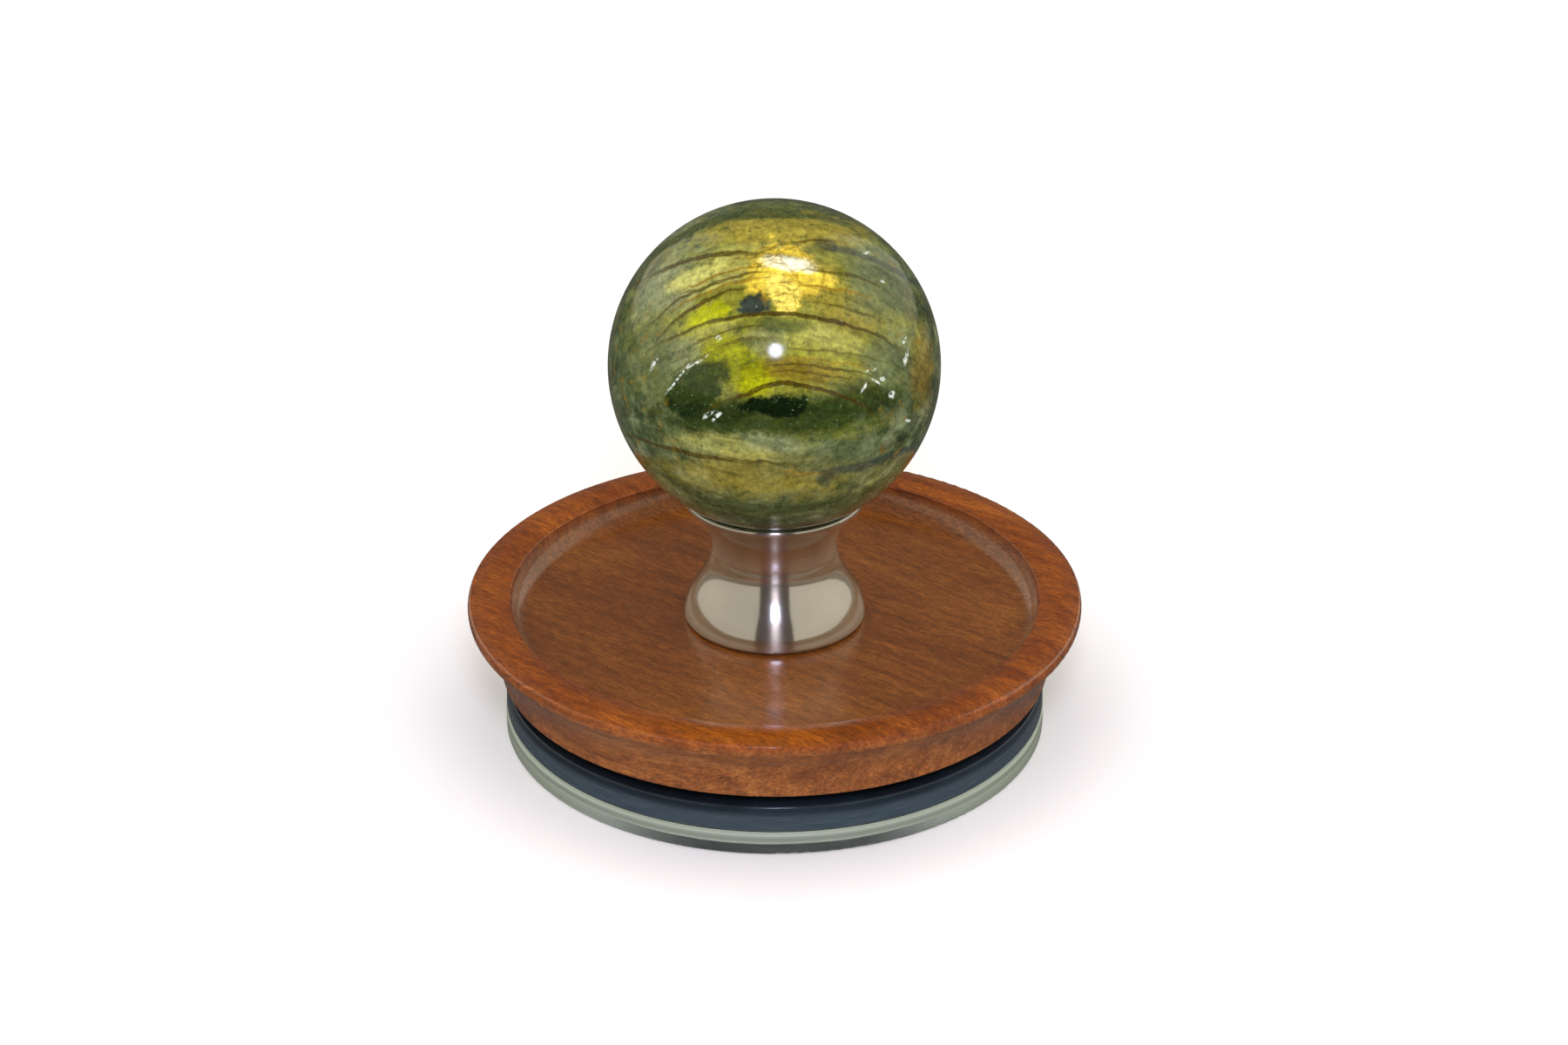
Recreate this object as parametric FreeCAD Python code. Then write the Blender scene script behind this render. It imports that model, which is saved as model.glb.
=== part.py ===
"""Hand-spun permanent-magnet demagnetizer: a stone ball on a waisted metal pedestal turns a lathe-turned
wooden disc, and the disc carries a ring of alternating magnets inside a dark base with a clear sole.

Millimetres, +Z up. The origin is the centre of the sole's underside, where the tool rests on the work.
Every turned piece is described by its outline in (radius, height) pairs and revolved about Z.
"""

import FreeCAD
import Part

import math
import os

from FreeCAD import Vector

os.makedirs("parts", exist_ok=True)

# ---------------------------------------------------------------- driving dimensions
BALL_R = 22.5  # polished stone ball
BALL_Z = 54.3  # height of its centre
DISC_R = 42.5  # widest part of the wooden disc's lip
WOOD_FOOT_R = 38.1  # the disc's lower edge
BASE_R = 37.5  # dark base shell
SOLE_R = 37.6  # clear sole
PEDESTAL_R = 12.55  # foot bulge of the pedestal
WAIST_R = 8.68  # its narrowest part
CUP_R = 12.62  # its upper lip, round the ball

# heights of the stack, from the sole up
SOLE_TOP = 3.3
FILM_TOP = 3.5
SHELL_FLOOR_TOP = 4.7
MAGNET_BOTTOM = 5.3
SHELL_TOP = 7.3
WOOD_BOTTOM = 9.2
YOKE_BOTTOM = 9.3
YOKE_TOP = 10.8
HUB_TOP = 12.3
FIELD_Z = 16.25  # the disc's sunk floor
RIM_INNER_Z = 19.4  # inner edge of the raised rim
RIM_CROWN_Z = 19.85

# bearing, of the common 8 x 16 x 4 size
SHAFT_R = 4.0
BEARING_R = 8.0
BEARING_BOTTOM = 5.5
BEARING_W = 4.0
PITCH_R = 6.0
RACE_BALL_R = 1.0
RACE_BALLS = 9
RACE_PLAY = 0.04  # running play between a ball and its races
BEARING_TOP = BEARING_BOTTOM + BEARING_W
BEARING_MID = BEARING_BOTTOM + BEARING_W / 2

# magnets
MAGNETS = 8
MAGNET_R = 6.0
MAGNET_RING_R = 22.0
MAGNET_T = YOKE_BOTTOM - MAGNET_BOTTOM

# fits
CLEAR = 0.15  # loose fit, each side
SCREW_CLEAR = 0.2  # clearance hole round a screw, each side

AXIS = Vector(0, 0, 1)


# ---------------------------------------------------------------- tools
def lathe(start, *steps):
    """Solid of revolution. A step is a point (r, z) for a straight run, (mid, end) for an arc, or a list
    of points for a smooth curve that leaves and arrives upright."""
    edges = []
    here = Vector(start[0], 0, start[1])
    for step in [*steps, start]:
        if isinstance(step, list):
            end = Vector(step[-1][0], 0, step[-1][1])
            edges.append(upright_curve([here, *(Vector(p[0], 0, p[1]) for p in step)]))
        elif isinstance(step[0], tuple):
            mid, end = (Vector(p[0], 0, p[1]) for p in step)
            edges.append(Part.Arc(here, mid, end).toShape())
        else:
            end = Vector(step[0], 0, step[1])
            if end.distanceToPoint(here) < 1e-7:
                continue
            edges.append(Part.LineSegment(here, end).toShape())
        here = end
    face = Part.Face(Part.Wire(edges))
    return face.revolve(Vector(0, 0, 0), AXIS, 360)


def upright_curve(points):
    curve = Part.BSplineCurve()
    curve.interpolate(Points=points, InitialTangent=AXIS, FinalTangent=AXIS)
    return curve.toShape()


def on_arc(centre, radius, degrees):
    """The point of a circle in the (r, z) plane, at an angle from the outward direction."""
    a = math.radians(degrees)
    return (centre[0] + radius * math.cos(a), centre[1] + radius * math.sin(a))


def corner(centre, radius, start, end):
    """The arc step from one angle to another about centre, for lathe()."""
    return (on_arc(centre, radius, (start + end) / 2), on_arc(centre, radius, end))


def disc(radius, low, high, x=0.0, y=0.0):
    return Part.makeCylinder(radius, high - low, Vector(x, y, low), AXIS)


def ring(inner, outer, low, high):
    return disc(outer, low, high).cut(disc(inner, low - 1, high + 1))


def polar(radius, degrees):
    a = math.radians(degrees)
    return radius * math.cos(a), radius * math.sin(a)


def spread(shape, radius, angles):
    """Copies of a shape built on the axis, each moved out to a radius and an angle."""
    copies = []
    for angle in angles:
        copy = shape.copy()
        copy.translate(Vector(*polar(radius, angle), 0))
        copies.append(copy)
    return copies


def countersunk_screw(shank_r, head_r, head_low, tip, drive_r, drive_depth):
    """A flat-head screw that points up, with its head's face at head_low and a hexagon drive in it."""
    rim = 0.25
    neck = head_low + rim + (head_r - shank_r)
    body = lathe(
        (0, head_low),
        (head_r, head_low),
        (head_r, head_low + rim),
        (shank_r, neck),
        (shank_r, tip - shank_r * 0.4),
        (shank_r * 0.6, tip),
        (0, tip),
    )
    return body.cut(hexagon(drive_r, head_low - 1, head_low + drive_depth))


def hexagon(radius, low, high):
    points = [Vector(*polar(radius, 60 * k), low) for k in range(7)]
    return Part.Face(Part.makePolygon(points)).extrude(Vector(0, 0, high - low))


def export(name, *solids):
    shape = solids[0] if len(solids) == 1 else Part.makeCompound(list(solids))
    for solid in shape.Solids:
        if not solid.isValid() or solid.Volume <= 0:
            raise ValueError(f"{name} has a bad solid")
    shape.exportStep(f"parts/{name}.step")
    print(f"{name:22s} solids {len(shape.Solids):2d}  volume {shape.Volume:9.1f} mm3")


# ---------------------------------------------------------------- handle: ball, pedestal and their screw
SCREW_R = 2.0  # M4
SCREW_HEAD_R = 3.8
SCREW_HEAD_LOW = 11.6
SCREW_HEAD_HIGH = 13.6
SCREW_TIP = 41.6
WASHER_R = 5.0
WASHER_TOP = 14.2
INSERT_R = 3.2
INSERT_LOW = 33.0
INSERT_HIGH = 43.4
GASKET_R = 12.0
PEDESTAL_LOW = FIELD_Z + 0.25


def ball_bottom(radius, at):
    """Height of the lower surface of a sphere about the ball's centre, at a distance from the axis."""
    return BALL_Z - math.sqrt(radius**2 - at**2)


def stone_ball():
    drill_end = INSERT_HIGH + 0.6
    cone = 1.2
    drill = lathe(
        (0, BALL_Z - BALL_R - 1),
        (INSERT_R, BALL_Z - BALL_R - 1),
        (INSERT_R, drill_end),
        (0, drill_end + cone),
    )
    return Part.makeSphere(BALL_R, Vector(0, 0, BALL_Z)).cut(drill)


def ball_insert():
    """Brass bush glued into the ball, tapped for the handle screw, with three glue grooves."""
    body = ring(SCREW_R, INSERT_R, INSERT_LOW, INSERT_HIGH)
    for z in (35.4, 37.9, 40.4):
        body = body.cut(ring(INSERT_R - 0.35, INSERT_R + 1, z, z + 0.8))
    return body


def pedestal():
    """Waisted turning: rounded foot bulge, concave waist, flare and a thin lip that meets the ball."""
    bulge_z, waist_z = 17.0, 27.3
    foot_r = PEDESTAL_R - 0.27
    foot_round = ((PEDESTAL_R - 0.07, PEDESTAL_LOW + 0.2), (PEDESTAL_R, bulge_z))
    shoulder = [
        (12.49, 17.6), (12.34, 18.3), (12.11, 19.0), (11.80, 19.8), (11.28, 20.8), (10.58, 21.9),
        (9.94, 22.9), (9.40, 23.9), (9.05, 24.75), (8.86, 25.6), (8.74, 26.5),
    ]
    flare_arc_r, flare_turn = 8.5, 55
    flare = (WAIST_R + flare_arc_r, waist_z)
    lip_round, lip_top = 0.4, 35.3
    lip = (CUP_R - lip_round, lip_top - lip_round)
    seat = BALL_R + 0.05
    seat_edge = math.sqrt(seat**2 - (BALL_Z - lip_top) ** 2)
    body = lathe(
        (0, PEDESTAL_LOW),
        (foot_r, PEDESTAL_LOW),
        foot_round,
        [*shoulder, (WAIST_R, waist_z)],
        corner(flare, flare_arc_r, 180, 180 - flare_turn),
        ((CUP_R - 0.07, lip[1] - 0.36), (CUP_R, lip[1])),
        corner(lip, lip_round, 0, 90),
        (seat_edge, lip_top),
        ((seat_edge * 0.5, ball_bottom(seat, seat_edge * 0.5)), (0, BALL_Z - seat)),
    )
    return body.cut(disc(SCREW_R + SCREW_CLEAR, PEDESTAL_LOW - 1, BALL_Z))


def pedestal_gasket():
    return ring(SCREW_R + SCREW_CLEAR, GASKET_R, FIELD_Z, PEDESTAL_LOW)


def handle_screw():
    """M4 screw put in from under the disc: low head, hexagon socket, plain shank to the ball."""
    body = lathe(
        (0, SCREW_HEAD_LOW),
        (SCREW_HEAD_R - 0.6, SCREW_HEAD_LOW),
        ((SCREW_HEAD_R - 0.15, SCREW_HEAD_LOW + 0.5), (SCREW_HEAD_R, SCREW_HEAD_LOW + 1.2)),
        (SCREW_HEAD_R, SCREW_HEAD_HIGH),
        (SCREW_R, SCREW_HEAD_HIGH),
        (SCREW_R, SCREW_TIP - 0.6),
        (SCREW_R - 0.6, SCREW_TIP),
        (0, SCREW_TIP),
    )
    return body.cut(hexagon(1.44, SCREW_HEAD_LOW - 1, SCREW_HEAD_LOW + 1.3))


def handle_washer():
    return ring(SCREW_R + CLEAR, WASHER_R, SCREW_HEAD_HIGH, WASHER_TOP)


# ---------------------------------------------------------------- wooden disc and the magnet rotor
YOKE_R = 33.0
YOKE_HOLE_R = 11.2
HUB_R = 16.0
YOKE_SCREW_RING_R = 27.0
YOKE_SCREW_TIP = 14.8
CARRIER_SCREW_RING_R = 25.0
CARRIER_SCREW_TIP = 10.6
HUB_SCREW_RING_R = 13.8
HUB_SCREW_TIP = 12.1
CARRIER_R = 32.0
CARRIER_HOLE_R = 14.8
GAP_ANGLE = 180 / MAGNETS  # half the pitch of the magnets, so the middle of a gap between two
YOKE_SCREW_ANGLES = [GAP_ANGLE + 90 * k for k in range(4)]
CARRIER_SCREW_ANGLES = [3 * GAP_ANGLE + 90 * k for k in range(4)]
HUB_SCREW_ANGLES = [90 + 120 * k for k in range(3)]


def yoke_screw():
    return countersunk_screw(1.2, 2.3, YOKE_BOTTOM, YOKE_SCREW_TIP, 0.9, 0.7)


def carrier_screw():
    return countersunk_screw(1.0, 1.9, MAGNET_BOTTOM, CARRIER_SCREW_TIP, 0.75, 0.6)


def hub_screw():
    return countersunk_screw(1.25, 2.1, YOKE_BOTTOM, HUB_SCREW_TIP, 0.9, 0.6)


def wooden_disc():
    """Turned disc: sunk floor, cove up to a crowned rim, rounded lip, long cove down to a narrower foot."""
    cove_r = 2.7
    rim_inner = 36.65
    quirk = 0.2  # small step between the cove and the rim
    cove = (rim_inner - quirk - cove_r, FIELD_Z + cove_r)
    lip_top, lip_low = 19.25, 17.85
    lip_mid = (lip_top + lip_low) / 2
    foot_top = 10.6
    undercut = 41.7
    body = lathe(
        (0, WOOD_BOTTOM),
        (WOOD_FOOT_R - 0.3, WOOD_BOTTOM),
        ((WOOD_FOOT_R - 0.09, WOOD_BOTTOM + 0.09), (WOOD_FOOT_R, WOOD_BOTTOM + 0.3)),
        (WOOD_FOOT_R, foot_top),
        ((38.95, 13.6), (undercut - 0.25, 17.05)),
        ((undercut - 0.05, 17.3), (undercut + 0.1, 17.45)),
        ((DISC_R - 0.22, lip_low - 0.1), (DISC_R - 0.06, lip_low + 0.25)),
        ((DISC_R, lip_mid), (DISC_R - 0.12, lip_top)),
        ((DISC_R - 0.28, lip_top + 0.17), (DISC_R - 0.6, lip_top + 0.25)),
        ((39.7, RIM_CROWN_Z), (rim_inner + 0.15, RIM_INNER_Z + 0.04)),
        ((rim_inner + 0.04, RIM_INNER_Z), (rim_inner, RIM_INNER_Z - 0.12)),
        (rim_inner, cove[1]),
        (rim_inner - quirk, cove[1]),
        corner(cove, cove_r, 0, -90),
        (0, FIELD_Z),
    )
    body = body.cut(disc(YOKE_R + CLEAR, WOOD_BOTTOM - 1, YOKE_TOP))
    body = body.cut(disc(HUB_R + CLEAR, WOOD_BOTTOM - 1, HUB_TOP))
    body = body.cut(disc(WASHER_R + 0.3, WOOD_BOTTOM - 1, WASHER_TOP))
    body = body.cut(disc(SCREW_R + SCREW_CLEAR, WOOD_BOTTOM - 1, FIELD_Z + 1))
    for screw in spread(yoke_screw(), YOKE_SCREW_RING_R, YOKE_SCREW_ANGLES):
        body = body.cut(screw)
    return body


def yoke_ring():
    """Soft-iron ring that closes the magnets' field on the side away from the work."""
    body = ring(YOKE_HOLE_R, YOKE_R, YOKE_BOTTOM, YOKE_TOP)
    screws = [
        *spread(solid_of(yoke_screw), YOKE_SCREW_RING_R, YOKE_SCREW_ANGLES),
        *spread(solid_of(carrier_screw), CARRIER_SCREW_RING_R, CARRIER_SCREW_ANGLES),
        *spread(solid_of(hub_screw), HUB_SCREW_RING_R, HUB_SCREW_ANGLES),
    ]
    for screw in screws:
        body = body.cut(screw)
    return body


def solid_of(make_screw):
    """A screw with its drive filled, which is the hole that it needs."""
    screw = make_screw()
    box = screw.BoundBox
    return screw.fuse(disc(0.95, box.ZMin, box.ZMin + 1.2)).removeSplitter()


def spindle_hub():
    """Flanged spindle: flange over the yoke, neck down on the inner race, shaft through the bearing."""
    end_chamfer = 0.3
    shaft_end = BEARING_BOTTOM + 0.1
    body = lathe(
        (0, shaft_end),
        (SHAFT_R - end_chamfer, shaft_end),
        (SHAFT_R, shaft_end + end_chamfer),
        (SHAFT_R, BEARING_TOP),
        (SHAFT_R + 1.2, BEARING_TOP),
        (SHAFT_R + 1.2, YOKE_TOP - 0.6),
        ((SHAFT_R + 1.376, YOKE_TOP - 0.176), (SHAFT_R + 1.8, YOKE_TOP)),
        (HUB_R, YOKE_TOP),
        (HUB_R, HUB_TOP - 0.2),
        (HUB_R - 0.2, HUB_TOP),
        (0, HUB_TOP),
    )
    body = body.cut(disc(SCREW_HEAD_R + 0.6, SCREW_HEAD_LOW - 0.4, HUB_TOP + 1))
    body = body.cut(disc(SPINDLE_SCREW_R, shaft_end - 1, SPINDLE_SCREW_TIP + 0.3))
    body = body.cut(spindle_screw())
    for screw in spread(hub_screw(), HUB_SCREW_RING_R, HUB_SCREW_ANGLES):
        body = body.cut(screw)
    return body


def magnet_carrier():
    """Moulded ring with a round pocket for each magnet."""
    edge = 0.4
    body = lathe(
        (CARRIER_HOLE_R, MAGNET_BOTTOM),
        (CARRIER_R - edge, MAGNET_BOTTOM),
        (CARRIER_R, MAGNET_BOTTOM + edge),
        (CARRIER_R, YOKE_BOTTOM),
        (CARRIER_HOLE_R, YOKE_BOTTOM),
    )
    for k in range(MAGNETS):
        x, y = polar(MAGNET_RING_R, 360 * k / MAGNETS)
        body = body.cut(disc(MAGNET_R + 0.05, MAGNET_BOTTOM - 1, YOKE_BOTTOM + 1, x, y))
    for screw in spread(solid_of(carrier_screw), CARRIER_SCREW_RING_R, CARRIER_SCREW_ANGLES):
        body = body.cut(screw)
    return body


def magnet(index):
    """Plated disc magnet with broken edges, glued in its pocket."""
    edge = 0.25
    body = lathe(
        (0, MAGNET_BOTTOM),
        (MAGNET_R - edge, MAGNET_BOTTOM),
        (MAGNET_R, MAGNET_BOTTOM + edge),
        (MAGNET_R, YOKE_BOTTOM - edge),
        (MAGNET_R - edge, YOKE_BOTTOM),
        (0, YOKE_BOTTOM),
    )
    return spread(body, MAGNET_RING_R, [360 * index / MAGNETS])[0]


# ---------------------------------------------------------------- bearing
RACE_GROOVE_R = RACE_BALL_R + RACE_PLAY
INNER_SHOULDER_R = 5.35
OUTER_SHOULDER_R = 6.65


def race_groove():
    return Part.makeTorus(PITCH_R, RACE_GROOVE_R, Vector(0, 0, BEARING_MID), AXIS)


def race(inner, outer):
    """A bearing ring with chamfered corners and its ball groove."""
    edge = 0.2
    low, high = BEARING_BOTTOM, BEARING_TOP
    body = lathe(
        (inner + edge, low),
        (outer - edge, low),
        (outer, low + edge),
        (outer, high - edge),
        (outer - edge, high),
        (inner + edge, high),
        (inner, high - edge),
        (inner, low + edge),
    )
    return body.cut(race_groove())


def race_balls():
    ball = Part.makeSphere(RACE_BALL_R, Vector(0, 0, BEARING_MID))
    return spread(ball, PITCH_R, [360 * k / RACE_BALLS for k in range(RACE_BALLS)])


def ball_cage():
    """Moulded crown between the races, with a round window for each ball."""
    half_height, half_width = 1.4, 0.4
    low, high = BEARING_MID - half_height, BEARING_MID + half_height
    body = ring(PITCH_R - half_width, PITCH_R + half_width, low, high)
    for k in range(RACE_BALLS):
        x, y = polar(1, 360 * k / RACE_BALLS)
        start = Vector(x * (PITCH_R - 2), y * (PITCH_R - 2), BEARING_MID)
        body = body.cut(Part.makeCylinder(RACE_BALL_R + 0.05, 4, start, Vector(x, y, 0)))
    return body


def snap_ring():
    """Split ring that sits in the boss's groove and holds the outer race down."""
    body = ring(7.1, BEARING_R + 0.5, SNAP_LOW + 0.05, SNAP_HIGH - 0.05)
    gap = Part.makeBox(12, 2.4, 4, Vector(0, -1.2, SNAP_LOW - 1))
    return body.cut(gap)


# ---------------------------------------------------------------- base
SHELL_INNER_R = 34.6
BOSS_R = 10.4
BOSS_TOP = 10.35
SEAT_LIP_R = 7.0
SNAP_LOW = BEARING_TOP
SNAP_HIGH = BEARING_TOP + 0.6
SPINDLE_SCREW_R = 1.5
SPINDLE_SCREW_TIP = 10.6
SPINDLE_WASHER_R = 5.2
SPINDLE_WASHER_LOW = 4.3


def base_shell():
    """Dark turned shell: low wall, thin floor and a central boss for the bearing."""
    top_round, foot_chamfer = 0.35, 0.2
    fillet = 0.8
    body = lathe(
        (SEAT_LIP_R, FILM_TOP),
        (BASE_R - foot_chamfer, FILM_TOP),
        (BASE_R, FILM_TOP + foot_chamfer),
        (BASE_R, SHELL_TOP - top_round),
        corner((BASE_R - top_round, SHELL_TOP - top_round), top_round, 0, 90),
        (SHELL_INNER_R, SHELL_TOP),
        (SHELL_INNER_R, SHELL_FLOOR_TOP + fillet),
        corner((SHELL_INNER_R - fillet, SHELL_FLOOR_TOP + fillet), fillet, 0, -90),
        (BOSS_R, SHELL_FLOOR_TOP),
        (BOSS_R, BOSS_TOP),
        (BEARING_R, BOSS_TOP),
        (BEARING_R, SNAP_HIGH),
        (BEARING_R + 0.6, SNAP_HIGH),
        (BEARING_R + 0.6, SNAP_LOW),
        (BEARING_R, SNAP_LOW),
        (BEARING_R, BEARING_BOTTOM),
        (SEAT_LIP_R, BEARING_BOTTOM),
    )
    return body


def sole_film():
    return ring(SEAT_LIP_R + 0.2, BASE_R - 0.3, SOLE_TOP, FILM_TOP)


def sole_plate():
    """Clear sole that slides on the work: polished edge, chamfered above and rounded below."""
    top_chamfer, low_round = 0.45, 0.5
    return lathe(
        (0, 0),
        (SOLE_R - low_round, 0),
        corner((SOLE_R - low_round, low_round), low_round, -90, 0),
        (SOLE_R, SOLE_TOP - top_chamfer),
        (SOLE_R - top_chamfer, SOLE_TOP),
        (0, SOLE_TOP),
    )


def spindle_screw():
    return countersunk_screw(SPINDLE_SCREW_R, 2.9, SPINDLE_WASHER_LOW - 0.05, SPINDLE_SCREW_TIP, 1.15, 1.0)


def spindle_washer():
    """Cupped washer that holds the inner race up on the shaft."""
    body = ring(SPINDLE_SCREW_R, SPINDLE_WASHER_R, SPINDLE_WASHER_LOW, BEARING_BOTTOM)
    screw = spindle_screw()
    low = screw.BoundBox.ZMin
    return body.cut(screw.fuse(disc(1.4, low, low + 1.1)))


def main():
    export("stone_ball", stone_ball())
    export("ball_insert", ball_insert())
    export("pedestal", pedestal())
    export("pedestal_gasket", pedestal_gasket())
    export("handle_screw", handle_screw())
    export("handle_washer", handle_washer())
    export("wooden_disc", wooden_disc())
    export("yoke_ring", yoke_ring())
    export("yoke_screws", *spread(yoke_screw(), YOKE_SCREW_RING_R, YOKE_SCREW_ANGLES))
    export("spindle_hub", spindle_hub())
    export("hub_screws", *spread(hub_screw(), HUB_SCREW_RING_R, HUB_SCREW_ANGLES))
    export("magnet_carrier", magnet_carrier())
    for k in range(MAGNETS):
        pole = "south" if k % 2 else "north"
        export(f"magnet_{pole}_{k // 2 + 1}", magnet(k))
    export("carrier_screws", *spread(carrier_screw(), CARRIER_SCREW_RING_R, CARRIER_SCREW_ANGLES))
    export("bearing_inner_race", race(SHAFT_R, INNER_SHOULDER_R))
    export("bearing_outer_race", race(OUTER_SHOULDER_R, BEARING_R))
    export("bearing_balls", *race_balls())
    export("bearing_cage", ball_cage())
    export("bearing_snap_ring", snap_ring())
    export("base_shell", base_shell())
    export("sole_film", sole_film())
    export("sole_plate", sole_plate())
    export("spindle_screw", spindle_screw())
    export("spindle_washer", spindle_washer())


main()
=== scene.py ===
"""Looks for the hand-spun demagnetizer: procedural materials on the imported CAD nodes, a pale floor, a soft
studio and the camera. Everything is in metres, in the row's frame, with +Z up and the front towards -Y."""

import math

import bpy
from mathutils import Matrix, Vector


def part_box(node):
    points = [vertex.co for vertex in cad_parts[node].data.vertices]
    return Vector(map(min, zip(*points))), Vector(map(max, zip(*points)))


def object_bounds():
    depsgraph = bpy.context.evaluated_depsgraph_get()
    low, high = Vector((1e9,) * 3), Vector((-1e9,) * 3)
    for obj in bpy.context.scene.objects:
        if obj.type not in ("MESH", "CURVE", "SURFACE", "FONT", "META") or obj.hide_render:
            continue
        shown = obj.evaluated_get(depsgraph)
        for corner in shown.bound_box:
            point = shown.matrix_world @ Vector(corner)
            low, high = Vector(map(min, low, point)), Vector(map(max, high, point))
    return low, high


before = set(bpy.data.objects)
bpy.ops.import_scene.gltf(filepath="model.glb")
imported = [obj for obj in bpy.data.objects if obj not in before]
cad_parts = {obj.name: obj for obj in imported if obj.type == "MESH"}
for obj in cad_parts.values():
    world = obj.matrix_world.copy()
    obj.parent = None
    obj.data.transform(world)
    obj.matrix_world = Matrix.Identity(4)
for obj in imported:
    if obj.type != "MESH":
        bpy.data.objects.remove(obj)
cad_low, cad_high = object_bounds()

CAMERA_RISE = 27.3  # degrees above the horizon


# ---------------------------------------------------------------- node-tree helpers
class Material:
    """One procedural material. Its methods add a node and return its output socket."""

    def __init__(self, name):
        self.material = bpy.data.materials.new(name)
        self.material.use_nodes = True
        self.tree = self.material.node_tree
        self.tree.nodes.clear()
        self.surface = self.add("ShaderNodeBsdfPrincipled")
        output = self.add("ShaderNodeOutputMaterial")
        self.tree.links.new(self.surface.outputs[0], output.inputs["Surface"])
        self.place = self.add("ShaderNodeTexCoord").outputs["Object"]

    def add(self, kind, **settings):
        node = self.tree.nodes.new(kind)
        for key, value in settings.items():
            setattr(node, key, value)
        return node

    def put(self, socket, value):
        """A link if value is another node's output, or else a constant."""
        if isinstance(value, bpy.types.NodeSocket):
            self.tree.links.new(value, socket)
        else:
            socket.default_value = value

    def set(self, **inputs):
        """Principled inputs, named with underscores for spaces."""
        for key, value in inputs.items():
            self.put(self.surface.inputs[key.replace("_", " ")], value)
        return self.material

    def math(self, operation, a, b=0.0, c=0.0):
        node = self.add("ShaderNodeMath", operation=operation)
        for socket, value in zip(node.inputs, (a, b, c)):
            self.put(socket, value)
        return node.outputs[0]

    def vector(self, operation, a, b=(0, 0, 0), scale=1.0):
        """Vector maths; the result is a number for a length or a dot product."""
        node = self.add("ShaderNodeVectorMath", operation=operation)
        for socket, value in zip(node.inputs, (a, b, (0, 0, 0), scale)):
            self.put(socket, value)
        return node.outputs[1 if operation in ("LENGTH", "DOT_PRODUCT") else 0]

    def split(self, vector):
        node = self.add("ShaderNodeSeparateXYZ")
        self.put(node.inputs[0], vector)
        return node.outputs

    def join(self, x, y, z):
        node = self.add("ShaderNodeCombineXYZ")
        for socket, value in zip(node.inputs, (x, y, z)):
            self.put(socket, value)
        return node.outputs[0]

    def mapping(self, vector, scale=(1, 1, 1), turn=(0, 0, 0), shift=(0, 0, 0)):
        """The vector shifted, turned (in radians) and scaled."""
        node = self.add("ShaderNodeMapping")
        self.put(node.inputs["Vector"], vector)
        node.inputs["Scale"].default_value = scale
        node.inputs["Rotation"].default_value = turn
        node.inputs["Location"].default_value = shift
        return node.outputs[0]

    def noise(self, vector, scale=1.0, detail=3.0, rough=0.5, warp=0.0, colour=False):
        """Fractal noise in 0..1, or as three channels when colour is set."""
        node = self.add("ShaderNodeTexNoise")
        self.put(node.inputs["Vector"], vector)
        node.inputs["Scale"].default_value = scale
        node.inputs["Detail"].default_value = detail
        node.inputs["Roughness"].default_value = rough
        node.inputs["Distortion"].default_value = warp
        return node.outputs["Color" if colour else "Fac"]

    def cells(self, vector, feature="F1"):
        """Distance to the nearest cell's point, or to its edge."""
        node = self.add("ShaderNodeTexVoronoi", feature=feature)
        self.put(node.inputs["Vector"], vector)
        node.inputs["Scale"].default_value = 1.0
        return node.outputs["Distance"]

    def span(self, value, low, high, to_low=0.0, to_high=1.0):
        """Map Range, clamped and smooth."""
        node = self.add("ShaderNodeMapRange", interpolation_type="SMOOTHSTEP")
        for key, number in (("Value", value), ("From Min", low), ("From Max", high)):
            self.put(node.inputs[key], number)
        node.inputs["To Min"].default_value = to_low
        node.inputs["To Max"].default_value = to_high
        return node.outputs[0]

    def ramp(self, value, stops):
        """Colour ramp through (position, grey level or colour) stops."""
        node = self.add("ShaderNodeValToRGB")
        self.put(node.inputs[0], value)
        band = node.color_ramp
        while len(band.elements) < len(stops):
            band.elements.new(0.5)
        for element, (at, colour) in zip(band.elements, stops):
            element.position = at
            element.color = grey(colour) if isinstance(colour, (int, float)) else (*colour, 1)
        return node.outputs["Color"]

    def mix(self, share, a, b, blend="MIX"):
        """Colour a with this share of colour b blended in."""
        node = self.add("ShaderNodeMix", data_type="RGBA", blend_type=blend)
        self.put(node.inputs["Factor"], share)
        for socket, value in ((node.inputs[6], a), (node.inputs[7], b)):
            self.put(socket, (*value, 1) if isinstance(value, tuple) else value)
        return node.outputs[2]

    def bump(self, height, depth, strength):
        """Bump from a height in 0..1; depth is its size in metres."""
        node = self.add("ShaderNodeBump")
        node.inputs["Strength"].default_value = strength
        node.inputs["Distance"].default_value = depth
        self.put(node.inputs["Height"], height)
        return node.outputs[0]

    def radius_and_turn(self):
        """Distance from the spin axis in metres, and angle about it in radians."""
        x, y, _ = self.split(self.place)
        flat = self.join(x, y, 0.0)
        return self.vector("LENGTH", flat), self.math("ARCTAN2", y, x)


def grey(level):
    return (level, level, level, 1)


def shade(colour, factor):
    return tuple(channel * factor for channel in colour)


def dress(node, material):
    """Gives a CAD node its material."""
    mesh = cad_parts[node].data
    mesh.materials.clear()
    mesh.materials.append(material)


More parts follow.
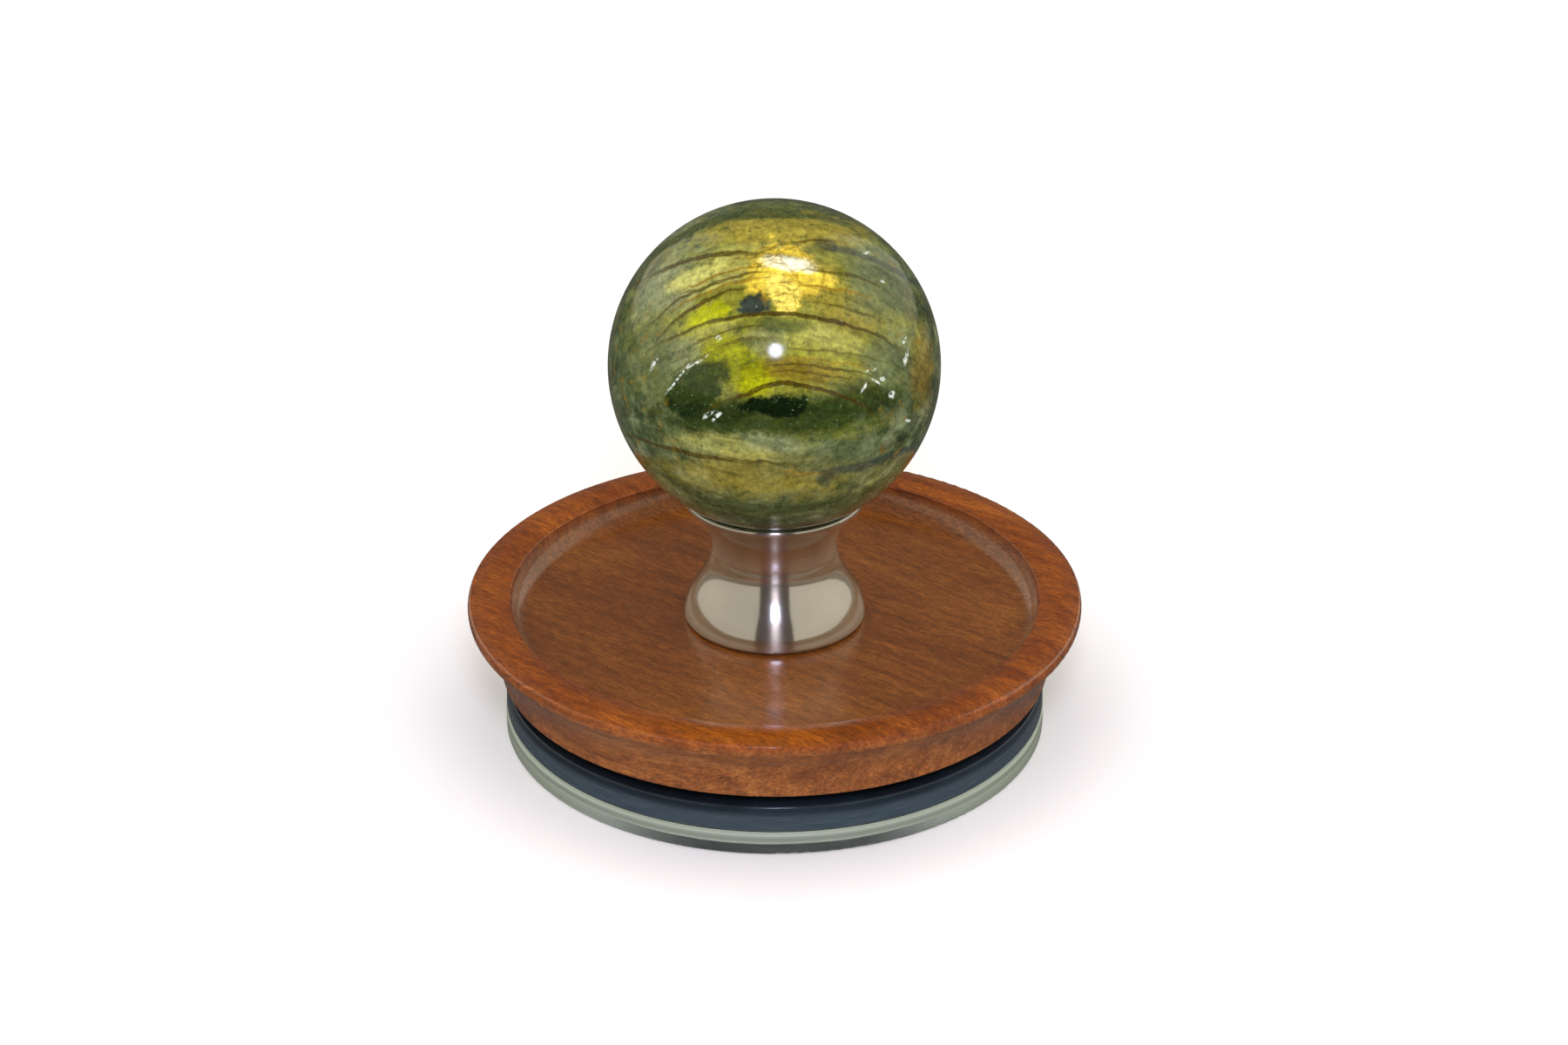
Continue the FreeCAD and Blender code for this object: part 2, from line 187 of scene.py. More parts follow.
# ---------------------------------------------------------------- labradorite ball
BALL_LOW, BALL_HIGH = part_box("stone_ball")
BALL_R = (BALL_HIGH.z - BALL_LOW.z) / 2
BALL_CENTRE = Vector((0, 0, BALL_HIGH.z - BALL_R))
LAYER_TILT = math.radians(CAMERA_RISE)  # the layers lean back, so that the camera sees them edge on
LAYER_BOW = 0.43  # how strongly they arch, in ball radii
FOLD = -0.33  # below this height the layers arch the other way
DEEP = 1000.0  # a cloud's reach in depth, in ball radii: the same all the way through
FRONT_FROM, FRONT_TO = 0.10, -0.12  # depth, in ball radii, over which the front's pattern comes in
RAGGED = 2.2  # how strongly the fine noise frays a cloud of raggedness 1
CHIP_SHARE = 0.8
POLISH = (0.13, 0.08)  # roughness of the stone's dull and bright grains
STONE_IOR = 1.38

MOSS = (0.098, 0.125, 0.052)
FERN = (0.035, 0.056, 0.018)
OLIVE = (0.26, 0.25, 0.022)
KHAKI = (0.27, 0.215, 0.030)
LIME = (0.33, 0.34, 0.004)
PALE = (0.50, 0.48, 0.12)
ASH = (0.22, 0.25, 0.125)
# painted sheen: the stone's gold flash as fixed colour, with a painted white-gold highlight at its brightest
GOLD_SHEEN = (0.76, 0.55, 0.05)
HOT_SPOT_HIGHLIGHT = (1.0, 0.95, 0.62)
FLARE_SHEEN = (1.0, 0.78, 0.14)
UMBER = (0.050, 0.030, 0.002)
SIENNA = (0.24, 0.135, 0.006)
RUSSET = (0.34, 0.20, 0.01)
SLATE = (0.020, 0.032, 0.030)
BOTTLE = (0.016, 0.034, 0.005)
PITCH = (0.003, 0.010, 0.001)
FROST = (0.80, 0.88, 0.78)
# the colour of the stone's painted glints
GLINT_MINT = (0.30, 0.38, 0.24)
TEAL = (0.03, 0.16, 0.17)

# clouds of colour inside the front of the stone: (x, height), (half width, half height) in ball radii,
# lean in degrees, softness, raggedness, colour, share
FRONT_CLOUDS = [
    ((0.00, 0.20), (0.74, 0.62), 0, 0.8, 0.7, OLIVE, 0.80),
    ((0.06, 0.76), (0.48, 0.12), 0, 0.8, 0.6, KHAKI, 0.85),
    ((-0.05, -0.66), (0.55, 0.13), 0, 1.0, 0.9, KHAKI, 0.62),
    ((0.35, -0.58), (0.35, 0.10), 0, 1.0, 0.9, MOSS, 0.6),
    ((-0.30, -0.51), (0.28, 0.07), -8, 0.8, 0.6, PALE, 0.40),
    ((-0.62, 0.42), (0.20, 0.14), 35, 0.9, 0.6, ASH, 0.75),
    ((-0.36, 0.50), (0.25, 0.085), 17, 0.7, 0.6, PALE, 0.85),
    ((-0.10, 0.64), (0.30, 0.05), 4, 0.8, 0.6, PALE, 0.5),
    ((-0.38, 0.26), (0.13, 0.07), 24, 0.5, 0.7, LIME, 1.0),
    ((-0.35, 0.15), (0.15, 0.07), 20, 0.8, 0.6, PALE, 0.40),
    ((-0.28, 0.02), (0.16, 0.13), 10, 0.7, 0.6, LIME, 0.95),
    ((-0.16, -0.09), (0.17, 0.11), -22, 0.6, 0.6, LIME, 1.0),
    ((0.15, -0.06), (0.24, 0.07), -6, 0.8, 0.7, SIENNA, 0.55),
    ((-0.05, 0.10), (0.12, 0.09), 0, 0.8, 0.6, ASH, 0.45),
    ((0.30, 0.12), (0.22, 0.075), -10, 0.9, 0.6, PALE, 0.35),
    ((0.42, 0.30), (0.22, 0.13), -18, 0.9, 0.7, KHAKI, 0.75),
    ((0.62, 0.45), (0.20, 0.20), 0, 0.9, 0.8, MOSS, 0.8),
    ((0.70, -0.03), (0.17, 0.16), 0, 0.9, 0.8, MOSS, 0.75),
    ((0.88, -0.05), (0.07, 0.22), 0, 0.9, 0.6, SIENNA, 0.45),
    ((-0.66, 0.00), (0.15, 0.20), 15, 0.9, 0.8, MOSS, 0.7),
    ((-0.50, 0.02), (0.10, 0.11), 30, 0.9, 0.6, ASH, 0.55),
    ((0.06, 0.19), (0.16, 0.04), -4, 0.8, 0.8, FERN, 0.65),
    ((0.10, 0.50), (0.30, 0.17), -14, 0.8, 0.9, KHAKI, 0.8),
    # painted sheen: the gold flash, with a painted white-gold highlight at its brightest
    ((0.05, 0.50), (0.20, 0.19), -20, 0.5, 0.9, GOLD_SHEEN, 0.95),
    ((0.24, 0.46), (0.16, 0.05), -14, 0.8, 0.8, GOLD_SHEEN, 0.6),
    ((0.08, 0.555), (0.15, 0.050), -6, 0.9, 0.7, HOT_SPOT_HIGHLIGHT, 1.0),
    ((0.05, 0.38), (0.10, 0.10), -25, 0.5, 0.9, FLARE_SHEEN, 0.8),
    ((-0.11, 0.305), (0.095, 0.060), 22, 0.5, 1.1, SLATE, 0.95),
    ((0.30, 0.685), (0.065, 0.035), 0, 0.6, 1.0, SLATE, 0.65),
    ((0.30, -0.685), (0.055, 0.035), 0, 0.6, 1.0, SLATE, 0.6),
    ((-0.46, -0.17), (0.21, 0.125), 36, 0.45, 0.7, BOTTLE, 0.92),
    ((-0.05, -0.33), (0.58, 0.115), 2, 0.6, 0.9, BOTTLE, 0.86),
    ((0.45, -0.25), (0.36, 0.09), 4, 0.8, 0.9, BOTTLE, 0.72),
    ((-0.02, -0.275), (0.19, 0.055), 3, 0.5, 1.3, PITCH, 1.0),
    ((-0.42, -0.31), (0.22, 0.05), -12, 0.8, 1.2, PITCH, 0.6),
    ((0.00, -0.50), (0.16, 0.045), 0, 0.9, 0.6, ASH, 0.5),
]

BACK_CLOUDS = [
    ((0.10, 0.18), (0.75, 0.60), 8, 0.7, 0.6, OLIVE, 0.75),
    # painted sheen and a painted highlight: a gold flash round the back
    ((-0.30, 0.35), (0.25, 0.16), -12, 0.6, 0.9, GOLD_SHEEN, 0.7),
    ((-0.10, 0.42), (0.12, 0.06), -8, 0.7, 0.9, HOT_SPOT_HIGHLIGHT, 0.6),
    ((0.34, 0.05), (0.28, 0.15), 18, 0.8, 0.8, TEAL, 0.75),
    ((0.05, -0.26), (0.50, 0.10), -6, 0.6, 1.0, BOTTLE, 0.85),
    ((-0.05, 0.62), (0.32, 0.07), 0, 0.7, 0.7, PALE, 0.55),
    ((0.10, -0.60), (0.50, 0.14), 0, 0.9, 0.7, KHAKI, 0.6),
]

# dark layers seen edge on: crest (x, height), bow, half width, ends (x, x), colour, share
FRONT_LAYERS = [
    ((0.00, 0.885), 0.45, 0.040, (-0.85, 0.45), FERN, 0.80),
    ((0.25, 0.695), 0.60, 0.013, (-0.08, 0.36), UMBER, 0.75),
    ((-0.12, 0.625), 0.30, 0.019, (-0.86, 0.12), UMBER, 0.92),
    ((0.30, 0.645), 0.55, 0.030, (0.26, 0.90), SLATE, 0.70),
    ((0.02, 0.560), 0.55, 0.009, (-0.52, -0.04), SIENNA, 0.8),
    ((0.02, 0.525), 0.58, 0.013, (-0.72, -0.02), UMBER, 0.80),
    ((0.02, 0.490), 0.58, 0.010, (-0.60, -0.02), SIENNA, 0.8),
    ((0.12, 0.540), 0.45, 0.013, (0.14, 0.66), UMBER, 0.65),
    ((0.12, 0.435), 0.38, 0.010, (0.16, 0.60), SIENNA, 0.7),
    ((-0.08, 0.425), 0.85, 0.017, (-0.72, -0.16), UMBER, 0.82),
    ((0.10, 0.335), 0.40, 0.011, (0.14, 0.66), UMBER, 0.6),
    ((0.02, 0.255), 0.34, 0.017, (-0.70, 0.78), UMBER, 0.92),
    ((0.00, 0.185), 0.45, 0.010, (-0.50, -0.04), UMBER, 0.65),
    ((-0.04, 0.110), 0.62, 0.014, (-0.66, 0.02), UMBER, 0.85),
    ((0.15, 0.050), 0.25, 0.010, (0.08, 0.66), UMBER, 0.60),
    ((0.10, 0.005), 0.30, 0.008, (0.10, 0.60), SIENNA, 0.7),
    ((0.10, -0.035), 0.30, 0.010, (-0.06, 0.62), UMBER, 0.7),
    ((0.10, -0.075), 0.35, 0.010, (-0.12, 0.50), UMBER, 0.75),
    ((0.08, -0.150), 0.70, 0.020, (-0.36, 0.56), UMBER, 0.92),
    ((-0.05, -0.610), -0.28, 0.017, (-0.88, 0.10), UMBER, 0.85),
    ((0.14, -0.660), -0.50, 0.012, (0.02, 0.34), SIENNA, 0.7),
    ((0.30, -0.640), -0.52, 0.030, (0.24, 0.88), SLATE, 0.70),
    ((0.00, -0.885), -0.45, 0.035, (-0.80, 0.50), FERN, 0.75),
]

# ramp stops of the dark layers round the back of the stone, against level * 0.5 + 0.5
REAR_HALF = 0.008
REAR_LAYERS = [
    stop
    for at in (0.44, 0.50, 0.545, 0.62, 0.66, 0.735, 0.80, 0.92)
    for stop in ((at - REAR_HALF, 0.0), (at, 1.0), (at + REAR_HALF, 0.0))
]

# short pale cracks and chips near the surface, their brightness partly painted glints: (x, height), (half
# length, half width), lean
CHIPS = [
    ((-0.560, -0.110), (0.105, 0.0065), 50), ((-0.45, -0.020), (0.085, 0.005), 34),
    ((-0.705, -0.020), (0.040, 0.010), 64), ((-0.335, -0.335), (0.035, 0.011), 42),
    ((-0.385, -0.325), (0.035, 0.009), 30), ((-0.320, 0.118), (0.015, 0.013), 0),
    ((0.635, -0.115), (0.015, 0.013), 0), ((0.690, -0.205), (0.020, 0.016), 70),
    ((0.775, 0.015), (0.040, 0.010), 75), ((0.770, 0.120), (0.022, 0.009), 60),
    ((0.525, -0.165), (0.030, 0.007), 60), ((0.570, -0.060), (0.030, 0.006), 20),
    ((0.790, -0.350), (0.016, 0.009), 20), ((0.545, 0.640), (0.018, 0.008), 10),
    ((0.640, 0.465), (0.012, 0.010), 0), ((0.600, -0.130), (0.030, 0.006), -35),
]


def ellipse(m, place, centre, radii, lean, softness, ragged=0.0, roughen=0.0):
    """1 inside an ellipse in the stone's (x, height) plane, fading to 0 over the softness."""
    node = m.add("ShaderNodeMapping", vector_type="TEXTURE")
    m.put(node.inputs["Vector"], place)
    node.inputs["Location"].default_value = (centre[0], 0, centre[1])
    node.inputs["Rotation"].default_value = (0, -math.radians(lean), 0)
    node.inputs["Scale"].default_value = (radii[0], DEEP, radii[1])
    distance = m.vector("LENGTH", node.outputs[0])
    if roughen:
        distance = m.math("MULTIPLY_ADD", ragged, roughen, distance)
    return m.span(distance, 1.0 + softness / 2, 1.0 - softness / 2 - 0.001)


def layer(m, curve, crest, bow, half, ends):
    """1 on a thin arched layer of the stone, fading towards its ends; curve holds x, x squared and height."""
    lifted = m.vector("DOT_PRODUCT", curve, (-2 * bow * crest[0], bow, 1))
    flat = m.join(m.split(curve)[0], 0.0, lifted)
    middle, reach = (ends[0] + ends[1]) / 2, (ends[1] - ends[0]) / 2
    return ellipse(m, flat, (middle, crest[1] - bow * crest[0] ** 2), (reach, half * 0.8), 0, 0.7)


def swirl(m, place, scale, size, detail=4):
    """A noise vector of the given size, to bend a pattern with."""
    cloud = m.noise(place, scale, detail, 0.6, colour=True)
    return m.vector("SCALE", m.vector("SUBTRACT", cloud, (0.5, 0.5, 0.5)), scale=size)


def labradorite():
    """Polished stone: a mottled body, clouds of colour, a painted gold sheen with cracks and a painted
    highlight, strata, dark layers, flecks, painted glints and chips.
    """
    m = Material("labradorite")
    centred = m.vector("SUBTRACT", m.place, tuple(BALL_CENTRE))
    own = m.mapping(m.vector("SCALE", centred, scale=1 / BALL_R), turn=(LAYER_TILT, 0, 0))
    bent = m.vector("ADD", m.vector("ADD", own, swirl(m, own, 2.3, 0.09)), swirl(m, own, 11.0, 0.032))
    x, y, z = m.split(bent)
    height = m.math("MULTIPLY", z, m.math("MULTIPLY_ADD", m.math("LESS_THAN", z, FOLD), -2.0, 1.0))
    level = m.math("MULTIPLY_ADD", m.math("MULTIPLY", x, x), LAYER_BOW, height)

    # body: mottled grey-green
    mottle = m.noise(own, 6.0, 6, 0.68)
    colour = m.mix(m.span(mottle, 0.36, 0.64), FERN, MOSS)
    colour = m.mix(m.span(m.noise(own, 3.1, 4, 0.6), 0.52, 0.70), colour, ASH)

    fine = m.math("SUBTRACT", m.noise(own, 8.5, 6, 0.72), 0.5)
    ragged = m.vector("ADD", own, swirl(m, own, 4.5, 0.13))
    front = m.span(y, FRONT_FROM, FRONT_TO)
    back = m.span(y, FRONT_TO, FRONT_FROM)
    for clouds, side in ((FRONT_CLOUDS, front), (BACK_CLOUDS, back)):
        for centre, radii, lean, softness, rag, tint, share in clouds:
            cloud = ellipse(m, ragged, centre, radii, lean, softness, fine, rag * RAGGED)
            inside = m.math("MULTIPLY", cloud, side)
            colour = m.mix(m.math("MULTIPLY", inside, share), colour, tint)

    # faceted cracks across the painted gold sheen
    gold_sheen_area = ellipse(m, ragged, (0.07, 0.49), (0.23, 0.21), -20, 0.3)
    cracks = m.cells(m.mapping(bent, scale=(6.5, 6.5, 9.0)), "DISTANCE_TO_EDGE")
    hair = m.math("MULTIPLY", m.span(cracks, 0.055, 0.012), m.math("MULTIPLY", gold_sheen_area, front))
    colour = m.mix(m.math("MULTIPLY", hair, 0.55), colour, RUSSET)

    # strata: soft broad bands, then fine broken strands that follow the layers
    across = m.join(m.math("MULTIPLY", x, 1.1), m.math("MULTIPLY", y, 1.1), m.math("MULTIPLY", level, 6.5))
    wide = m.ramp(m.noise(across, 1.0, 4, 0.6), [(0.30, 0.50), (0.50, 1.0), (0.70, 1.30)])
    colour = m.mix(0.9, colour, wide, "MULTIPLY")
    along = m.join(m.math("MULTIPLY", x, 1.7), m.math("MULTIPLY", y, 1.7), m.math("MULTIPLY", level, 24.0))
    strands = m.noise(along, 1.0, 5, 0.62, 0.5)
    strands = m.ramp(strands, [(0.30, 0.42), (0.45, 0.90), (0.60, 1.05), (0.75, 1.2)])
    colour = m.mix(0.8, colour, strands, "MULTIPLY")

    broken = m.span(m.noise(along, 0.5, 3, 0.6), 0.30, 0.55, 0.45, 1.0)
    front_broken = m.math("MULTIPLY", front, broken)
    curve = m.join(x, m.math("MULTIPLY", x, x), z)
    for crest, bow, half, ends, tint, share in FRONT_LAYERS:
        shown = m.math("MULTIPLY", layer(m, curve, crest, bow, half, ends), front_broken)
        colour = m.mix(m.math("MULTIPLY", shown, share), colour, tint)
    rear = m.ramp(m.math("MULTIPLY_ADD", level, 0.5, 0.5), REAR_LAYERS)
    rear_shown = m.math("MULTIPLY", m.math("MULTIPLY", rear, broken), back)
    colour = m.mix(m.math("MULTIPLY", rear_shown, 0.8), colour, UMBER)

    # grainy tone, small dark flecks and small painted glints
    grain = m.noise(own, 23.0, 5, 0.75)
    grainy = m.ramp(grain, [(0.28, 0.35), (0.5, 1.0), (0.72, 1.75)])
    colour = m.mix(0.85, colour, grainy, "MULTIPLY")
    flecks = m.span(m.noise(own, 17.0, 3, 0.6), 0.60, 0.70)
    colour = m.mix(m.math("MULTIPLY", flecks, 0.55), colour, FERN)
    # painted glints: tiny pale specks of painted light
    painted_glints = m.span(m.noise(own, 55.0, 2, 0.5), 0.66, 0.74)
    colour = m.mix(m.math("MULTIPLY", painted_glints, 0.4), colour, GLINT_MINT)

    # rusty spots towards the sides
    flanks = m.span(m.math("ABSOLUTE", x), 0.45, 0.70)
    rust = m.span(m.noise(m.mapping(own, shift=(3, 1, 2)), 13.0, 4, 0.7), 0.57, 0.66)
    colour = m.mix(m.math("MULTIPLY", rust, m.math("MULTIPLY", flanks, 0.5)), colour, SIENNA)

    # pale chips, broken up into painted glints by a fine noise
    nearby = m.vector("ADD", own, swirl(m, own, 15.0, 0.035, 3))
    chip_glints = m.math("MULTIPLY", m.span(m.noise(own, 42.0, 2, 0.5), 0.38, 0.56), front)
    for centre, radii, lean in CHIPS:
        inside = m.math("MULTIPLY", ellipse(m, nearby, centre, radii, lean, 1.0), chip_glints)
        colour = m.mix(m.math("MULTIPLY", inside, CHIP_SHARE), colour, FROST)
    return m.set(Base_Color=colour, Roughness=m.span(grain, 0.3, 0.7, *POLISH), IOR=STONE_IOR)


# ---------------------------------------------------------------- wood
GRAIN_TURN = math.radians(38)  # the plank's fibres run from back left to front right
FIELD_TOP, RIM_FROM = 0.0174, 0.0190  # heights between which the field's tone turns into the rim's
COVE_TOP, COVE_FROM = 0.0192, 0.0178  # heights between which the rim turns into the cove below it
RIM_INSIDE, RIM_OUTSIDE = 0.0355, 0.0370  # radii between which the cove's painted reflection comes in
RING_PITCH = 1 / 5200.0  # metres between the lathe's turning rings

# painted light: the field's greyer tones paint a reflection haze, the rim's redder tones, brighter at the top,
# paint the extra light the raised rim catches
FIELD_TONES = [
    (0.25, (0.127, 0.034, 0.005)),
    (0.45, (0.178, 0.051, 0.007)),
    (0.58, (0.223, 0.067, 0.009)),
    (0.78, (0.294, 0.098, 0.013)),
]
RIM_TONES = [
    (0.25, (0.122, 0.023, 0.001)),
    (0.45, (0.206, 0.044, 0.002)),
    (0.58, (0.276, 0.065, 0.003)),
    (0.78, (0.400, 0.107, 0.006)),
]
COVE_REFLECTION_TINT = (0.98, 1.28, 4.6)  # the cove is the rim's colour times this: a painted reflection of the pale floor, which greys it
PORE = (0.028, 0.009, 0.003)


def turned_wood():
    """Polished red-brown wood turned from one plank, with open pores and the lathe's faint rings; painted light
    in its tones gives a greyer field, a redder rim brighter at the top and a painted reflection greying the
    outer cove.
    """
    m = Material("turned_wood")
    fibre = m.mapping(m.place, turn=(0, 0, GRAIN_TURN))
    radius, _ = m.radius_and_turn()
    _, _, z = m.split(m.place)
    drift = m.noise(m.mapping(fibre, scale=(26, 70, 70)), 1.0, 4, 0.6, 0.6)
    bands = m.noise(m.mapping(fibre, scale=(90, 620, 620)), 1.0, 6, 0.70, 0.3)
    fine = m.noise(m.mapping(fibre, scale=(520, 3000, 3000)), 1.0, 4, 0.65)
    speckle = m.noise(m.mapping(fibre, scale=(1700, 2900, 2900)), 1.0, 3, 0.6)

    tone = m.math("MULTIPLY_ADD", m.math("SUBTRACT", drift, 0.5), 0.6, bands)
    rim = m.ramp(tone, RIM_TONES)
    # field and rim tones differ as painted light: haze painted on the field, extra light painted on the rim
    colour = m.mix(m.span(z, FIELD_TOP, RIM_FROM), m.ramp(tone, FIELD_TONES), rim)
    # painted reflection of the pale floor on the outer cove, below the rim
    below_rim = m.span(z, COVE_TOP, COVE_FROM)
    cove_reflection = m.math("MULTIPLY", m.span(radius, RIM_INSIDE, RIM_OUTSIDE), below_rim)
    colour = m.mix(cove_reflection, colour, m.mix(1.0, rim, COVE_REFLECTION_TINT, "MULTIPLY"))
    colour = m.mix(0.85, colour, m.ramp(fine, [(0.30, 0.50), (0.50, 1.0), (0.70, 1.45)]), "MULTIPLY")
    colour = m.mix(0.75, colour, m.ramp(speckle, [(0.30, 0.62), (0.5, 1.0), (0.70, 1.4)]), "MULTIPLY")

    # open pores: short dark dashes along the fibres
    pores = m.cells(m.mapping(fibre, scale=(260, 1500, 1500)))
    patchy = m.span(m.noise(m.mapping(fibre, scale=(60, 210, 210)), 1.0, 2), 0.46, 0.64)
    dashes = m.math("MULTIPLY", m.span(pores, 0.20, 0.10), patchy)
    colour = m.mix(m.math("MULTIPLY", dashes, 0.65), colour, PORE)

    # fine turning rings left by the lathe, which the polish follows
    rings = m.noise(m.join(m.math("MULTIPLY", radius, 1 / RING_PITCH), 0.0, 0.0), 1.0, 2)
    height = m.math("MULTIPLY_ADD", rings, 0.35, fine)
    height = m.math("SUBTRACT", height, m.math("MULTIPLY", dashes, 0.8))
    return m.set(
        Base_Color=colour,
        Roughness=m.span(fine, 0.3, 0.7, 0.46, 0.34),
        IOR=1.42,
        Coat_Weight=1.0,
        Coat_Roughness=0.19,
        Coat_IOR=1.5,
        Normal=m.bump(height, depth=0.00003, strength=0.45),
    )


# ---------------------------------------------------------------- metals
GROOVE_PITCH = 0.00012  # metres between the grooves of turned or brushed metal


def lathe_metal(name, colour, roughness, pitch=GROOVE_PITCH):
    """Metal turned round the spin axis: fine grooves and slight colour drift."""
    m = Material(name)
    radius, turn = m.radius_and_turn()
    _, _, z = m.split(m.place)
    across = m.math("ADD", m.math("DIVIDE", z, pitch), m.math("DIVIDE", radius, pitch))
    grooves = m.noise(m.join(m.math("MULTIPLY", turn, 1.3), across, 0.0), 1.0, 3, 0.65)
    drift = m.noise(m.place, 160.0, 3, 0.6)
    tint = m.mix(m.span(drift, 0.3, 0.7), shade(colour, 0.90), colour)
    tint = m.mix(0.35, tint, m.ramp(grooves, [(0.3, 0.78), (0.65, 1.12)]), "MULTIPLY")
    return m.set(
        Base_Color=tint,
        Metallic=1.0,
        Roughness=m.span(grooves, 0.25, 0.75, roughness * 0.85, roughness * 1.2),
        Normal=m.bump(grooves, depth=0.000002, strength=0.6),
    )


NICKEL_DIM = (0.49, 0.43, 0.35)
NICKEL = (0.55, 0.48, 0.40)


def brushed_nickel():
    """Nickel brushed round the spin axis, which draws highlights out upright, under a clear polished skin."""
    m = Material("brushed_nickel")
    radius, turn = m.radius_and_turn()
    _, _, z = m.split(m.place)
    profile = m.math("MULTIPLY", m.math("MULTIPLY_ADD", radius, 0.5, z), 1 / GROOVE_PITCH)
    lines = m.noise(m.join(m.math("MULTIPLY", turn, 5.0), profile, 0.0), 1.0, 4, 0.7)
    drift = m.noise(m.place, 160.0, 3, 0.6)
    tint = m.mix(m.span(drift, 0.3, 0.7), NICKEL_DIM, NICKEL)
    tint = m.mix(0.6, tint, m.ramp(lines, [(0.3, 0.70), (0.7, 1.2)]), "MULTIPLY")
    tangent = m.add("ShaderNodeTangent", direction_type="RADIAL", axis="Z")
    return m.set(
        Base_Color=tint,
        Metallic=1.0,
        Roughness=m.span(lines, 0.3, 0.7, 0.29, 0.37),
        Anisotropic=1.0,
        Anisotropic_Rotation=0.25,
        Tangent=tangent.outputs[0],
        Normal=m.bump(lines, depth=0.0000015, strength=0.6),
        Coat_Weight=1.0,
        Coat_Roughness=0.10,
        Coat_IOR=3.4,
        Coat_Tint=(0.97, 0.94, 0.87, 1.0),
    )


def plated_metal(name, colour, roughness):
    """Plated or ground metal with a faint random texture and small scuffs."""
    m = Material(name)
    cloud = m.noise(m.place, 420.0, 4, 0.6)
    scuffs = m.noise(m.mapping(m.place, scale=(900, 4200, 900), turn=(0.3, 0.2, 0.7)), 1.0, 3, 0.7)
    tint = m.mix(m.span(cloud, 0.3, 0.7), shade(colour, 0.84), colour)
    return m.set(
        Base_Color=tint,
        Metallic=1.0,
        Roughness=m.span(scuffs, 0.35, 0.7, roughness, roughness * 1.6),
        Normal=m.bump(scuffs, depth=0.000003, strength=0.5),
    )


# ---------------------------------------------------------------- other materials
def matt(name, colour, roughness, grain=2200.0):
    """Moulded or fibrous matt stuff with a fine pebbled skin."""
    m = Material(name)
    pebble = m.noise(m.place, grain, 4, 0.6)
    cloud = m.noise(m.place, 150.0, 3, 0.5)
    tint = m.mix(m.span(cloud, 0.3, 0.7), shade(colour, 0.8), shade(colour, 1.2))
    return m.set(
        Base_Color=tint,
        Roughness=m.span(pebble, 0.3, 0.7, roughness * 0.9, min(1.0, roughness * 1.15)),
        Normal=m.bump(pebble, depth=0.00002, strength=0.6),
    )


NAVY_DARK, NAVY = (0.009, 0.015, 0.021), (0.014, 0.024, 0.036)
# painted reflection of the pale floor, which lightens the lower wall
REFLECTION_DARK, REFLECTION_PALE = (0.030, 0.046, 0.062), (0.052, 0.074, 0.092)
REFLECTION_TOP, REFLECTION_FULL = 0.0066, 0.0054  # heights between which the painted floor reflection on the lower wall comes in


def navy_lacquer():
    """Glossy blue-black lacquer with a slight orange peel, fine rubbed scratches round the wall and a painted
    reflection of the pale floor on its lower wall.
    """
    m = Material("navy_lacquer")
    _, turn = m.radius_and_turn()
    _, _, z = m.split(m.place)
    peel = m.noise(m.place, 900.0, 2, 0.4)
    round_wall = m.join(m.math("MULTIPLY", turn, 6.0), m.math("MULTIPLY", z, 9000.0), 0.0)
    hairlines = m.noise(round_wall, 1.0, 3, 0.7)
    cloud = m.noise(m.place, 90.0, 3, 0.55)
    tint = m.mix(m.span(cloud, 0.35, 0.65), NAVY_DARK, NAVY)
    # painted reflection of the pale floor, streaked by the hairlines, comes in towards the bottom of the wall
    lower_wall_reflection = m.mix(m.span(hairlines, 0.3, 0.7), REFLECTION_DARK, REFLECTION_PALE)
    tint = m.mix(m.span(z, REFLECTION_TOP, REFLECTION_FULL), tint, lower_wall_reflection)
    return m.set(
        Base_Color=tint,
        Roughness=m.span(hairlines, 0.45, 0.75, 0.16, 0.34),
        IOR=1.45,
        Normal=m.bump(peel, depth=0.000012, strength=0.35),
    )


_, SOLE_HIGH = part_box("sole_plate")
SOLE_R = SOLE_HIGH.x
CLEAR_GREEN = (0.86, 0.97, 0.90)
GROUND_DARK, GROUND_PALE = (0.43, 0.51, 0.39), (0.60, 0.66, 0.50)
BAND_LOW = SOLE_HIGH.z * 0.50  # the ground band runs from here to the top of the sole
BAND_FADE = 0.00030
# the band's stripes are painted highlight lines: lighter stripes with darker ones between
BAND_HIGHLIGHT_STRIPES = [(0.50, 0.75), (0.60, 1.0), (0.68, 0.58), (0.78, 0.66), (0.88, 1.1)]  # (share of height, tone)
EDGE_INSIDE, EDGE = SOLE_R - 0.0012, SOLE_R - 0.0009  # the grinding is only on the outer edge
# painted reflection: the edge is painted paler away from its front, least at the front
REFLECTION_LEAST_AT, REFLECTION_FULL_FROM = -SOLE_R * 0.98, -SOLE_R * 0.70  # the sole is clearest at its front


